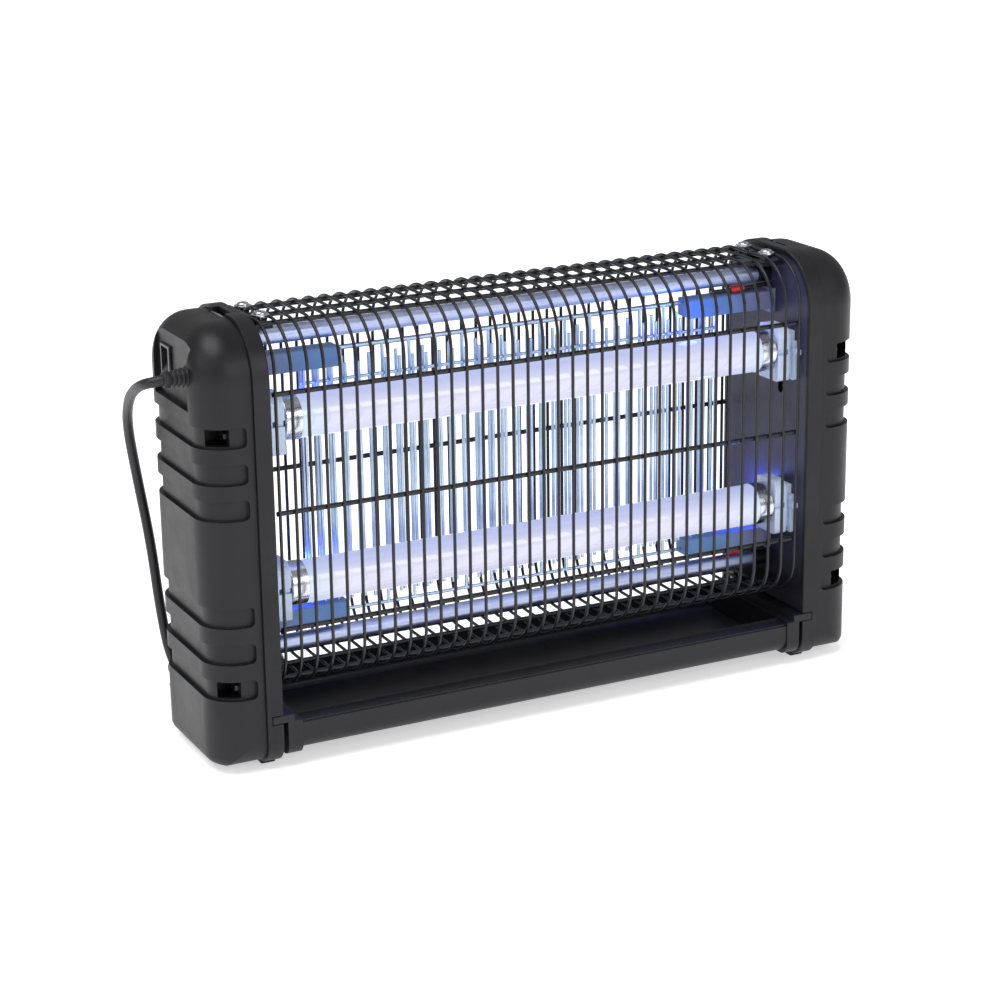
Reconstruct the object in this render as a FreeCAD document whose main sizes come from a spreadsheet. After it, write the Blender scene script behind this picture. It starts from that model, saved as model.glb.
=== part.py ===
"""Electric insect killer: twin ultraviolet lamps and a high-voltage rod grid inside a wire guard.

Millimetres, +Z up. X runs along the lamps, the collecting tray slides out towards -Y, and the origin is
on the surface the feet stand on, below the middle of the housing.
"""

import FreeCAD, Part
import Sketcher
import math
import os
import re
import sys

from FreeCAD import Placement, Rotation, Vector

os.makedirs("parts", exist_ok=True)
doc = FreeCAD.newDocument("insect_killer")

# ---------------------------------------------------------------- driving dimensions
SIZES = {
    # housing
    "body_half": (216.5, "middle to the outer face of an end cap"),
    "parting": (186.0, "middle to the line between end cap and end frame"),
    "band_inner": (176.0, "middle to the inner edge of an end frame's band"),
    "depth_half": (48.4, "middle to the front of an end frame"),
    "frame_low": (3.0, "underside of an end frame, above the surface"),
    "frame_top": (261.7, "top of an end frame"),
    "frame_wall": (3.0, "thickness of an end frame's band"),
    "plate_face": (176.6, "middle to the inner face of an end frame's plate"),
    "channel_floor": (183.2, "middle to the bottom of the channel the tray's tabs slide in"),
    "channel_low": (28.4, "lower side of that channel"),
    "channel_high": (33.9, "upper side of that channel"),
    "shelf_tip": (161.0, "middle to the tip of a shelf that the guard is screwed to"),
    "shelf_half": (17.8, "half the depth of a shelf"),
    "shelf_gap": (3.85, "guard wires to a shelf"),
    "shelf_thick": (2.2, "thickness of a shelf"),
    "round_top": (33.0, "top corner radius of an end frame"),
    "round_low": (14.0, "bottom corner radius of an end frame"),
    "edge_round": (0.9, "small outer edge radius of the mouldings"),
    "cap_inset": (1.8, "how far an end cap stays inside the frame's outline"),
    "cap_wall": (4.6, "wall of an end cap"),
    "cap_rim": (20.0, "radius round the outer face of an end cap"),
    "cap_low_edge": (6.0, "bottom edge radius of an end cap"),
    "cap_split": (131.0, "height where an end cap's upper and lower forms meet"),
    "pocket_near": (13.5, "parting line to the near wall of a screw pocket"),
    "pocket_far": (25.0, "parting line to the far wall of a screw pocket"),
    "panel_half": (26.5, "half the width of the inlet panel"),
    "panel_low": (213.0, "bottom of the inlet panel"),
    "panel_high": (251.0, "top of the inlet panel"),
    "panel_back": (205.0, "middle to the back of the inlet panel"),
    "foot_height": (3.0, "rubber foot"),
    # grooves of the end caps
    "groove_half": (5.9, "half the height of a groove"),
    "groove_deep": (2.4, "depth of a groove"),
    "groove_end": (190.3, "middle to where a groove ends near the parting line"),
    "groove_corner": (3.0, "radius at a groove's end"),
    # guard
    "guard_half": (171.5, "middle to the last wire of the guard"),
    "guard_front": (43.8, "middle to the wires of the front and rear panels"),
    "guard_top": (258.0, "wires of the top panel"),
    "guard_low": (43.0, "wires of the bottom panel"),
    "guard_bend": (26.0, "bend radius of the guard's wires"),
    "wire_radius": (0.95, "guard wire"),
    "cross_radius": (1.45, "guard cross wire"),
    "weld_sink": (0.25, "how far a cross wire is welded into the wires"),
    "cross_upper": (220.5, "upper cross wire of the front and rear panels"),
    "cross_middle": (151.5, "middle cross wire"),
    "cross_lower": (82.5, "lower cross wire"),
    "cross_side": (20.6, "outer cross wires of the top and bottom panels"),
    # lamps
    "lamp_y": (-22.2, "lamp axis, in front of the middle plane"),
    "lamp_upper": (201.0, "upper lamp's axis"),
    "lamp_lower": (102.5, "lower lamp's axis"),
    "lamp_half": (162.3, "middle to the face of a lamp's cap"),
    "glass_radius": (12.7, "lamp tube"),
    "glass_wall": (0.8, "lamp tube's glass"),
    "lampcap_radius": (13.1, "lamp's aluminium cap"),
    "lampcap_length": (10.5, "lamp's aluminium cap"),
    "pin_radius": (1.18, "lamp pin"),
    "pin_length": (7.1, "lamp pin"),
    "pin_half": (6.35, "lamp axis to a pin"),
    # lamp holders
    "holder_face": (162.8, "middle to a lamp holder's face"),
    "holder_back": (171.2, "middle to the back of a lamp holder's body"),
    "holder_foot": (174.0, "middle to the flange of a lamp holder"),
    "holder_half": (12.2, "half the width of a lamp holder"),
    "holder_rise": (16.0, "lamp axis to a lamp holder's top"),
    "holder_drop": (18.4, "lamp axis to a lamp holder's underside"),
    "rotor_radius": (10.8, "rotor that turns with the lamp"),
    "rotor_gap": (0.4, "clearance round a rotor"),
    "rotor_thick": (5.0, "rotor"),
    # high-voltage grid
    "grid_middle": (151.2, "middle height of the grid"),
    "rod_radius": (1.0, "grid rod"),
    "rod_pitch": (8.6, "grid rod pitch"),
    "rod_half": (137.6, "middle to the last grid rod"),
    "row_half": (2.5, "middle plane to a row of rods"),
    "rail_outer": (79.6, "grid middle to the outer rail"),
    "short_half": (74.4, "half the length of a short rear rod"),
    "front_half": (71.4, "half the length of a front rod"),
    "rail_inner": (62.0, "grid middle to the inner rail"),
    "arm_tip": (115.6, "middle to the free end of an insulator arm"),
    "arm_half": (7.0, "half the depth of an insulator arm"),
    "arm_inner": (71.2, "grid middle to the inner face of an arm"),
    "arm_outer": (82.3, "grid middle to the outer face of an arm"),
    # tie tubes
    "tie_upper": (243.8, "upper tie tube's axis"),
    "tie_lower": (58.2, "lower tie tube's axis"),
    "tie_radius": (5.15, "tie tube"),
    "tie_bore": (4.35, "tie tube's bore"),
    "tie_half": (166.6, "middle to the end of a tie tube"),
    # tray
    "tray_low": (9.6, "underside of the tray's trough"),
    "tray_rim": (28.2, "rim of the tray"),
    "tray_front": (47.6, "middle to the tray's front"),
    "tray_back": (44.0, "middle to the tray's rear"),
    "tray_end": (164.6, "middle to the inner face of a tray end"),
    "tray_end_out": (173.5, "middle to the outer face of a tray end"),
    "tray_round": (8.0, "lower edge radius of the tray"),
    "tray_wall": (1.8, "wall of the tray"),
    "tab_low": (28.9, "underside of a tray's sliding tab"),
    "tab_high": (33.3, "top of a tray's sliding tab"),
    "tab_out": (182.6, "middle to the outer edge of a sliding tab"),
    # screws
    "screw_x": (166.6, "middle to the guard screws"),
    "screw_y": (13.0, "middle to a guard screw"),
    "washer_radius": (5.0, "guard screw's washer head"),
    "cap_screw_y": (37.5, "middle to an end cap's screws"),
    "boss_radius": (3.6, "guard screw's boss"),
    "boss_half": (8.4, "half the height of an end cap's screw boss"),
    "pocket_half": (4.8, "half the height of a screw pocket"),
    "head_radius": (3.4, "end cap screw's head"),
    "screw_hole": (2.3, "hole for an end cap's screw"),
    "pilot": (1.7, "pilot hole in an end frame"),
    "pilot_end": (180.2, "middle to the bottom of a pilot hole"),
    "slot_deep": (3.6, "depth of a hanging slot in an end frame"),
    "lead_hole": (3.0, "half the width of the lead hole"),
    "lead_hole_y": (-16.6, "lead hole"),
    "lead_hole_z": (175.5, "lead hole"),
    # switch and cord
    "switch_y": (12.5, "rocker switch, behind the middle plane"),
    "switch_z": (232.5, "rocker switch"),
    "bezel_half": (7.5, "half the width of the switch's bezel"),
    "bezel_rise": (10.5, "half the height of the switch's bezel"),
    "gland_y": (-23.0, "cord's strain relief, in front of the middle plane"),
    "gland_z": (232.0, "cord's strain relief"),
    "gland_tip": (229.0, "middle to the strain relief's free end"),
    "gland_hole": (5.0, "hole for the strain relief"),
    "gland_recess": (7.4, "round recess for the strain relief's flange"),
    "panel_face": (213.2, "middle to the face of the inlet panel"),
    "cord_radius": (3.0, "mains cord"),
    "coil_x": (-158.5, "coil of spare cord"),
    "coil_y": (91.0, "coil of spare cord"),
    "coil_mean": (30.0, "coil's middle radius"),
    "coil_half": (6.2, "half the radial width of the coil"),
    "coil_height": (18.2, "coil"),
}
WIRES = 36
RODS = 33
GROOVE_HEIGHTS = (199.9, 178.8, 158.1, 95.3, 73.5, 51.9)
SCREW_HEIGHTS = (GROOVE_HEIGHTS[0], GROOVE_HEIGHTS[-1])
BOSS_Y = (25.0, 43.0)
POCKET_Y = (27.0, 50.0)
SLOT_Y = (-9.5, 9.5)
SLOT_Z = (250, 270)
SIDES = (("left", -1), ("right", 1))

sheet = doc.addObject("Spreadsheet::Sheet", "Sizes")
for row, (alias, (value, note)) in enumerate(SIZES.items(), start=1):
    sheet.set(f"A{row}", alias)
    sheet.set(f"B{row}", str(value))
    sheet.set(f"C{row}", note)
    sheet.setAlias(f"B{row}", alias)
doc.recompute()

X_AXIS = Vector(1, 0, 0)
Y_AXIS = Vector(0, 1, 0)
Z_AXIS = Vector(0, 0, 1)
EPS = 1e-4
parts = {}


# ---------------------------------------------------------------- helpers
def size(alias):
    """A driving dimension's value."""
    return float(sheet.get(alias))


def formula(text):
    """The text with every name of a dimension pointing at the sheet."""
    return re.sub(r"[a-z]\w+", lambda word: f"Sizes.{word.group(0)}", str(text))


def bind(thing, **formulas):
    for name, text in formulas.items():
        thing.setExpression(name, formula(text))


def place(thing, x, y, z):
    """Bind a thing's place to the sheet."""
    thing.setExpression("Placement.Base.x", formula(x))
    thing.setExpression("Placement.Base.y", formula(y))
    thing.setExpression("Placement.Base.z", formula(z))


def block(name, x, y, z, sign=1):
    """A box between two formulas on each axis; sign -1 puts its X span on the left."""
    (x0, x1), (y0, y1), (z0, z1) = x, y, z
    box = doc.addObject("Part::Box", name)
    bind(box, Length=f"{x1} - ({x0})", Width=f"{y1} - ({y0})", Height=f"{z1} - ({z0})")
    place(box, x0 if sign > 0 else f"-({x1})", y0, z0)
    return box


def rod(name, radius, x, y, z, axis="X", sign=1):
    """A cylinder along one axis, whose span on that axis is a pair of formulas."""
    cylinder = doc.addObject("Part::Cylinder", name)
    low, high = {"X": x, "Y": y, "Z": z}[axis]
    direction = {"X": X_AXIS, "Y": Y_AXIS, "Z": Z_AXIS}[axis]
    cylinder.Placement = Placement(Vector(), Rotation(Z_AXIS, direction))
    bind(cylinder, Radius=radius, Height=f"{high} - ({low})")
    if axis == "X":
        place(cylinder, low if sign > 0 else f"-({high})", y, z)
    elif axis == "Y":
        place(cylinder, x if sign > 0 else f"-({x})", low, z)
    else:
        place(cylinder, x if sign > 0 else f"-({x})", y, low)
    return cylinder


def group(kind, name, shapes):
    thing = doc.addObject(kind, name)
    if kind == "Part::Compound":
        thing.Links = list(shapes)
    else:
        thing.Shapes = list(shapes)
    return thing


def fuse(name, shapes):
    shapes = list(shapes)
    return shapes[0] if len(shapes) == 1 else group("Part::MultiFuse", name, shapes)


def together(name, shapes):
    """Separate solids in one node."""
    return group("Part::Compound", name, shapes)


def cut(name, base, tools):
    tools = list(tools)
    thing = doc.addObject("Part::Cut", name)
    thing.Base = base
    thing.Tool = tools[0] if len(tools) == 1 else group("Part::MultiFuse", f"{name}_tools", tools)
    return thing


def common(name, shapes):
    return group("Part::MultiCommon", name, shapes)


def runs_along(edge, axis):
    if edge.Curve.TypeId != "Part::GeomLine":
        return False
    direction = edge.tangentAt(edge.FirstParameter)
    return abs(abs(direction.dot(axis)) - 1) < EPS


def lies_at(edge, axis, value):
    return all(abs(v.Point.dot(axis) - value) < 0.01 for v in edge.Vertexes)


def rounded(name, base, choices):
    """Fillet the base's edges: choices pairs a radius with a test that picks its edges."""
    doc.recompute()
    picked = []
    for radius, wanted in choices:
        for number, edge in enumerate(base.Shape.Edges, start=1):
            if wanted(edge):
                picked.append((number, radius, radius))
    thing = doc.addObject("Part::Fillet", name)
    thing.Base = base
    thing.Edges = picked
    return thing


def part(label, thing):
    """Register a finished sub-part under its own name."""
    thing.Label = label
    parts[label] = thing
    return thing


def outline_block(name, x, inset, radius_top, radius_low, sign, rim=0.0, rim_at=0.0, low="frame_low"):
    """A block with the housing's side outline, moved in by an inset, and its corners rounded."""
    middle = (size("frame_low") + size("frame_top")) / 2
    y_span = (f"-(depth_half - {inset})", f"depth_half - {inset}")
    base = block(f"{name}_block", x, y_span, (f"{low} + {inset}", f"frame_top - {inset}"), sign)
    corners = rounded(
        f"{name}_corners",
        base,
        [
            (radius_top, lambda e: runs_along(e, X_AXIS) and e.CenterOfMass.z > middle),
            (radius_low, lambda e: runs_along(e, X_AXIS) and e.CenterOfMass.z < middle),
        ],
    )
    if not rim:
        return corners
    return rounded(f"{name}_rim", corners, [(rim, lambda e: lies_at(e, X_AXIS, sign * rim_at))])


# ---------------------------------------------------------------- end frames
def end_frame(side, sign):
    name = f"end_frame_{side}"
    wall = size("frame_wall")
    outer = outline_block(
        f"{name}_outer",
        ("band_inner", "parting"),
        0,
        size("round_top"),
        size("round_low"),
        sign,
        rim=size("edge_round"),
        rim_at=size("band_inner"),
    )
    inner = outline_block(
        f"{name}_inner",
        ("band_inner - 1", "plate_face"),
        wall,
        size("round_top") - wall,
        size("round_low") - wall,
        sign,
    )
    shell = cut(f"{name}_shell", outer, [inner])

    # the shelves the guard is screwed to
    shelf_x = ("shelf_tip", "plate_face + 1")
    shelf_y = ("-shelf_half", "shelf_half")
    shelves = [
        block(
            f"{name}_shelf_top",
            shelf_x,
            shelf_y,
            ("guard_top - shelf_gap - shelf_thick", "guard_top - shelf_gap"),
            sign,
        ),
        block(
            f"{name}_shelf_low",
            shelf_x,
            shelf_y,
            ("guard_low + shelf_gap", "guard_low + shelf_gap + shelf_thick"),
            sign,
        ),
    ]

    added = [shell, *shelves]
    for level, z in (
        ("top", ("guard_top - 5", "guard_top - 1")),
        ("low", ("guard_low + 1", "guard_low + 5")),
    ):
        for row, y in (("front", "-screw_y"), ("rear", "screw_y")):
            added.append(rod(f"{name}_boss_{level}_{row}", "boss_radius", "screw_x", y, z, "Z", sign))
    for level in ("upper", "lower"):
        post = ("tie_half", "plate_face + 1")
        spigot = ("tie_half - 7", "tie_half + 1")
        added.append(rod(f"{name}_tie_post_{level}", "tie_radius", post, 0, f"tie_{level}", "X", sign))
        added.append(
            rod(f"{name}_tie_spigot_{level}", "tie_bore - 0.05", spigot, 0, f"tie_{level}", "X", sign)
        )
    solid = fuse(f"{name}_solid", added)

    removed = [
        block(
            f"{name}_channel",
            ("band_inner - 1", "channel_floor"),
            ("-(depth_half + 1)", "tray_back"),
            ("channel_low", "channel_high"),
            sign,
        ),
    ]
    slot_x = ("parting - slot_deep", "parting + 1")
    removed.append(block(f"{name}_hanger_slot", slot_x, SLOT_Y, SLOT_Z, sign))
    for key, z in (("high", "lead_hole_z + 2"), ("low", "lead_hole_z - 2")):
        x = ("plate_face - 1", "parting + 1")
        removed.append(rod(f"{name}_lead_hole_{key}", "lead_hole", x, "lead_hole_y", z, "X", sign))
    for height in SCREW_HEIGHTS:
        for row, y in (("front", "-cap_screw_y"), ("rear", "cap_screw_y")):
            x = ("pilot_end", "parting + 1")
            removed.append(rod(f"{name}_pilot_{row}_{int(height)}", "pilot", x, y, height, "X", sign))
    return part(name, cut(name, solid, removed))


for side, sign in SIDES:
    end_frame(side, sign)


# ---------------------------------------------------------------- end caps
def cap_block(name, inset, start, sign):
    """The end cap's outer form moved in by an inset: rounded all over at the top, flatter at the bottom."""
    rim = size("cap_rim") - inset
    edge = size("cap_inset") + inset
    x = (start, f"body_half - {inset}")
    low_round = size("round_low") - edge
    crowned = outline_block(
        f"{name}_upper",
        x,
        edge,
        size("round_top") - edge,
        rim + 1,
        sign,
        rim=rim,
        rim_at=size("body_half") - inset,
    )
    span_y = ("-depth_half - 1", "depth_half + 1")
    above = block(f"{name}_above", (start, "body_half + 1"), span_y, ("cap_split", "frame_top"), sign)
    upper = common(f"{name}_top", [crowned, above])
    base = block(
        f"{name}_base",
        x,
        (f"-(depth_half - {edge})", f"depth_half - {edge}"),
        (f"frame_low + {edge}", "cap_split"),
        sign,
    )
    at = sign * (size("body_half") - inset)
    upright = rounded(
        f"{name}_upright",
        base,
        [(rim, lambda e: runs_along(e, Z_AXIS) and lies_at(e, X_AXIS, at))],
    )
    bottom = size("frame_low") + edge
    near = sign * start_of(start)
    soft = rounded(
        f"{name}_bottom",
        upright,
        [(
            size("cap_low_edge") - inset,
            lambda e: lies_at(
                e,
                Z_AXIS,
                bottom,
            ) and not runs_along(e, X_AXIS) and not lies_at(e, X_AXIS, near),
        )],
    )
    profile = outline_block(f"{name}_profile", x, edge, low_round, low_round, sign)
    lower = common(f"{name}_low", [soft, profile])
    return fuse(name, [upper, lower])


def start_of(text):
    """The value of a formula such as parting - 1."""
    name, _, less = text.partition(" - ")
    return size(name) - float(less or 0)


def end_cap(side, sign):
    name = f"end_cap_{side}"
    outer = cap_block(f"{name}_outer", 0, "parting", sign)
    core = cap_block(f"{name}_core", size("groove_deep"), "parting", sign)
    hollow = cap_block(f"{name}_hollow", size("cap_wall"), "parting - 1", sign)
    shell = cut(f"{name}_shell", outer, [hollow])

    bosses = []
    pockets = []
    for height in SCREW_HEIGHTS:
        for row, way in (("front", -1), ("rear", 1)):
            key = f"{name}_{row}_{int(height)}"
            y = tuple(sorted((way * BOSS_Y[0], way * BOSS_Y[1])))
            z = (f"{height} - boss_half", f"{height} + boss_half")
            bosses.append(block(f"{key}_boss", ("parting", "body_half"), y, z, sign))
            x = ("parting + pocket_near", "parting + pocket_far")
            y = tuple(sorted((way * POCKET_Y[0], way * POCKET_Y[1])))
            z = (f"{height} - pocket_half", f"{height} + pocket_half")
            pockets.append(block(f"{key}_pocket", x, y, z, sign))
            x = ("parting - 1", "parting + pocket_near + 1")
            pockets.append(rod(f"{key}_hole", "screw_hole", x, f"{way} * cap_screw_y", height, "X", sign))
    boss_set = common(f"{name}_bosses", [fuse(f"{name}_boss_blocks", bosses), core])

    added = [shell, boss_set]
    panel_y = ("-panel_half", "panel_half")
    if side == "left":
        panel = block(
            f"{name}_panel_block",
            ("panel_back", "panel_face"),
            panel_y,
            ("panel_low", "panel_high"),
            sign,
        )
        added.append(common(f"{name}_panel", [panel, outer]))
    solid = fuse(f"{name}_solid", added)

    bands = []
    for height in GROOVE_HEIGHTS:
        band = block(
            f"{name}_band_{int(height)}",
            ("groove_end", "body_half + 4"),
            ("-(depth_half + 4)", "depth_half + 4"),
            (f"{height} - groove_half", f"{height} + groove_half"),
            sign,
        )
        at = sign * size("groove_end")
        ends = [(size("groove_corner"), lambda e: runs_along(e, Y_AXIS) and lies_at(e, X_AXIS, at))]
        bands.append(rounded(f"{name}_groove_{int(height)}", band, ends))
    grooves = cut(f"{name}_grooves", fuse(f"{name}_groove_bands", bands), [core])

    removed = [grooves, *pockets]
    removed.append(block(f"{name}_hanger_slot", ("parting - 1", "parting + 3.0"), SLOT_Y, SLOT_Z, sign))
    if side == "left":
        through = ("panel_back - 5", "body_half + 1")
        outward = ("panel_face", "body_half + 1")
        y = ("switch_y - 6.6", "switch_y + 6.6")
        z = ("switch_z - 9.8", "switch_z + 9.8")
        removed.append(block(f"{name}_recess", outward, panel_y, ("panel_low", "panel_high + 1"), sign))
        removed.append(block(f"{name}_switch_hole", through, y, z, sign))
        removed.append(rod(f"{name}_gland_hole", "gland_hole", through, "gland_y", "gland_z", "X", sign))
        removed.append(
            rod(f"{name}_gland_recess", "gland_recess", outward, "gland_y", "gland_z", "X", sign)
        )
    return part(name, cut(name, solid, removed))


for side, sign in SIDES:
    end_cap(side, sign)


def cap_screw(name, y, height, sign):
    """Pan-head screw in the recess of an end cap."""
    seat = "parting + pocket_near"
    head = rod(f"{name}_head", "head_radius", (f"{seat} + 0.1", f"{seat} + 2.4"), y, height, "X", sign)
    shank = rod(f"{name}_shank", "pilot - 0.05", ("pilot_end + 0.3", f"{seat} + 0.5"), y, height, "X", sign)
    cross = []
    for key, half_y, half_z in (("a", 2.0, 0.4), ("b", 0.4, 2.0)):
        x = (f"{seat} + 1.4", f"{seat} + 3")
        z = (height - half_z, height + half_z)
        cross.append(block(f"{name}_slot_{key}", x, (f"{y} - {half_y}", f"{y} + {half_y}"), z, sign))
    return cut(name, fuse(f"{name}_solid", [head, shank]), cross)


cap_screws = [
    cap_screw(f"cap_screw_{side}_{row}_{int(height)}", y, height, sign)
    for side, sign in SIDES
    for row, y in (("front", "-cap_screw_y"), ("rear", "cap_screw_y"))
    for height in SCREW_HEIGHTS
]
part("cap_screws", together("cap_screws", cap_screws))


# ---------------------------------------------------------------- feet and hanging brackets
feet = [
    block(f"foot_{side}_{row}", ("band_inner + 0.9", "parting - 0.3"), y, (0, "foot_height"), sign)
    for side, sign in SIDES
    for row, y in (("front", (-34, -22)), ("rear", (22, 34)))
]
soft_feet = [
    rounded(f"{foot.Name}_soft", foot, [(1.2, lambda e: lies_at(e, Z_AXIS, 0))]) for foot in feet
]
part("rubber_feet", together("rubber_feet", soft_feet))


def hanger(side, sign):
    """Steel eye under a hanging slot: a U-shaped strip with a bar that a hook goes round."""
    name = f"hanger_eye_{side}"
    strip = block(f"{name}_strip", ("parting + 0.2", "parting + 1.8"), (-8.6, 8.6), (232, 259.6), sign)
    window = block(f"{name}_window", ("parting", "parting + 2"), (-6.2, 6.2), (244, 256.6), sign)
    return part(name, cut(name, strip, [window]))


for side, sign in SIDES:
    hanger(side, sign)


# ---------------------------------------------------------------- wire guard
def origin_plane(body, role):
    return next(f for f in body.Origin.OriginFeatures if f.Role == role)


def sketch_on(body, name, role):
    sketch = body.newObject("Sketcher::SketchObject", name)
    sketch.AttachmentSupport = (origin_plane(body, role), [""])
    sketch.MapMode = "FlatFace"
    return sketch


def circle_in(sketch, x, y, radius, x_formula, y_formula, radius_formula):
    """A circle whose place and radius follow the sheet."""
    number = sketch.addGeometry(Part.Circle(Vector(x, y, 0), Z_AXIS, radius), False)
    add = sketch.addConstraint
    for kind, axis_formula, value in (("DistanceX", x_formula, x), ("DistanceY", y_formula, y)):
        if abs(value) < EPS:
            on_axis = -2 if kind == "DistanceX" else -1
            add(Sketcher.Constraint("PointOnObject", number, 3, on_axis))
        else:
            added = add(Sketcher.Constraint(kind, -1, 1, number, 3, value))
            sketch.setExpression(f"Constraints[{added}]", formula(axis_formula))
    added = add(Sketcher.Constraint("Radius", number, radius))
    sketch.setExpression(f"Constraints[{added}]", formula(radius_formula))
    return number


def pad(body, name, sketch, length_formula, both_ways=False):
    feature = body.newObject("PartDesign::Pad", name)
    feature.Profile = sketch
    if both_ways:
        feature.Midplane = True
    bind(feature, Length=length_formula)
    body.Tip = feature
    return feature


def row_along_x(body, name, feature, span_formula, count):
    pattern = body.newObject("PartDesign::LinearPattern", name)
    pattern.Originals = [feature]
    axis = next(f for f in body.Origin.OriginFeatures if f.Role == "X_Axis")
    pattern.Direction = (axis, [""])
    pattern.Occurrences = count
    bind(pattern, Length=span_formula)
    body.Tip = pattern
    return pattern


def cross_wires(body, places):
    """Cross wires along X, padded both ways from the middle plane."""
    sketch = sketch_on(body, f"{body.Name}_cross_sketch", "YZ_Plane")
    for y, z, y_formula, z_formula in places:
        circle_in(sketch, y, z, size("cross_radius"), y_formula, z_formula, "cross_radius")
    pad(body, f"{body.Name}_cross", sketch, "2 * guard_half + 2", both_ways=True)


def flat_panel(side, sign):
    """Front or rear panel of the guard: straight wires with three cross wires welded inside them."""
    body = doc.addObject("PartDesign::Body", f"guard_{side}")
    sketch = sketch_on(body, f"guard_{side}_wire_sketch", "XY_Plane")
    y = sign * size("guard_front")
    circle_in(
        sketch,
        -size("guard_half"),
        y,
        size("wire_radius"),
        "-guard_half",
        f"{sign} * guard_front",
        "wire_radius",
    )
    sketch.AttachmentOffset = Placement(Vector(0, 0, size("guard_low") + size("guard_bend")), Rotation())
    sketch.setExpression("AttachmentOffset.Base.z", formula("guard_low + guard_bend"))
    first = pad(body, f"guard_{side}_wire", sketch, "guard_top - guard_low - 2 * guard_bend")
    row_along_x(body, f"guard_{side}_wires", first, "2 * guard_half", WIRES)
    inside = "wire_radius - cross_radius + weld_sink"
    gap = size("guard_front") - size("wire_radius") - size("cross_radius") + size("weld_sink")
    y_formula = f"{sign} * (guard_front - {inside})"
    levels = ("cross_upper", "cross_middle", "cross_lower")
    places = [(sign * gap, size(level), y_formula, level) for level in levels]
    cross_wires(body, places)
    return part(f"guard_{side}", body)


def arch_panel(level, sign):
    """Top or bottom panel: each wire is an arch between the front and rear panels."""
    body = doc.addObject("PartDesign::Body", f"guard_{level}")
    bend = size("guard_bend")
    front = size("guard_front")
    flat = size("guard_top") if sign > 0 else size("guard_low")
    spring = flat - sign * bend
    spring_formula = f"guard_{'top' if sign > 0 else 'low'} - {sign} * guard_bend"

    profile = sketch_on(body, f"guard_{level}_profile", "XY_Plane")
    circle_in(
        profile,
        -size("guard_half"),
        -front,
        size("wire_radius"),
        "-guard_half",
        "-guard_front",
        "wire_radius",
    )
    profile.AttachmentOffset = Placement(Vector(0, 0, spring), Rotation())
    profile.setExpression("AttachmentOffset.Base.z", formula(spring_formula))

    path = sketch_on(body, f"guard_{level}_path", "YZ_Plane")
    path.AttachmentOffset = Placement(Vector(0, 0, -size("guard_half")), Rotation())
    path.setExpression("AttachmentOffset.Base.z", formula("-guard_half"))
    mid = math.sqrt(0.5) * bend
    for side in (-1, 1):
        centre = Vector(side * (front - bend), spring, 0)
        ends = (
            Vector(side * front, spring, 0),
            Vector(centre.x + side * mid, spring + sign * mid, 0),
            Vector(side * (front - bend), flat, 0),
        )
        if side > 0:
            ends = ends[::-1]
        if side > 0:
            left = Vector(-(front - bend), flat, 0)
            path.addGeometry(Part.LineSegment(left, ends[0]), False)
        path.addGeometry(Part.Arc(*ends), False)

    pipe = body.newObject("PartDesign::AdditivePipe", f"guard_{level}_wire")
    pipe.Profile = profile
    pipe.Spine = path
    body.Tip = pipe
    row_along_x(body, f"guard_{level}_wires", pipe, "2 * guard_half", WIRES)
    z = flat - sign * (size("wire_radius") + size("cross_radius") - size("weld_sink"))
    z_formula = f"guard_{'top' if sign > 0 else 'low'} - {sign} * (wire_radius + cross_radius - weld_sink)"
    side_y = size("cross_side")
    places = [
        (-side_y, z, "-cross_side", z_formula),
        (0, z, "0", z_formula),
        (side_y, z, "cross_side", z_formula),
    ]
    cross_wires(body, places)
    return part(f"guard_{level}", body)


for side, sign in (("front", -1), ("rear", 1)):
    flat_panel(side, sign)
for level, sign in (("top", 1), ("bottom", -1)):
    arch_panel(level, sign)


def guard_screw(name, y, level, sign):
    """Cross-head screw with a washer head that clamps two wires of the guard."""
    up = 1 if level == "top" else -1
    face = "(guard_top + wire_radius)" if up > 0 else "(guard_low - wire_radius)"

    def span(near, far):
        return tuple(f"{face} + {v}" for v in sorted((up * near, up * far)))

    washer = rod(f"{name}_washer", "washer_radius", "screw_x", y, span(0, 0.9), "Z", sign)
    head = rod(f"{name}_head", 3.6, "screw_x", y, span(0.8, 2.5), "Z", sign)
    head_edge = size("guard_top" if up > 0 else "guard_low") + up * (size("wire_radius") + 2.5)
    domed = rounded(f"{name}_dome", head, [(1.2, lambda e: lies_at(e, Z_AXIS, head_edge))])
    shank = rod(f"{name}_shank", 1.7, "screw_x", y, span(-1.9, 0.1), "Z", sign)
    slots = []
    for key, dx, dy in (("a", 1.9, 0.45), ("b", 0.45, 1.9)):
        x = (f"screw_x - {dx}", f"screw_x + {dx}")
        slots.append(block(f"{name}_slot_{key}", x, (f"{y} - {dy}", f"{y} + {dy}"), span(1.3, 4), sign))
    return cut(name, fuse(f"{name}_solid", [washer, domed, shank]), slots)


guard_screws = [
    guard_screw(f"guard_screw_{side}_{level}_{row}", y, level, sign)
    for side, sign in SIDES
    for level in ("top", "low")
    for row, y in (("front", "-screw_y"), ("rear", "screw_y"))
]
part("guard_screws", together("guard_screws", guard_screws))


# ---------------------------------------------------------------- tie tubes
for level in ("upper", "lower"):
    span = ("-tie_half", "tie_half")
    outer = rod(f"tie_{level}_outer", "tie_radius", span, 0, f"tie_{level}")
    bore = rod(f"tie_{level}_bore", "tie_bore", ("-tie_half - 1", "tie_half + 1"), 0, f"tie_{level}")
    part(f"tie_tube_{level}", cut(f"tie_tube_{level}", outer, [bore]))


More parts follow.
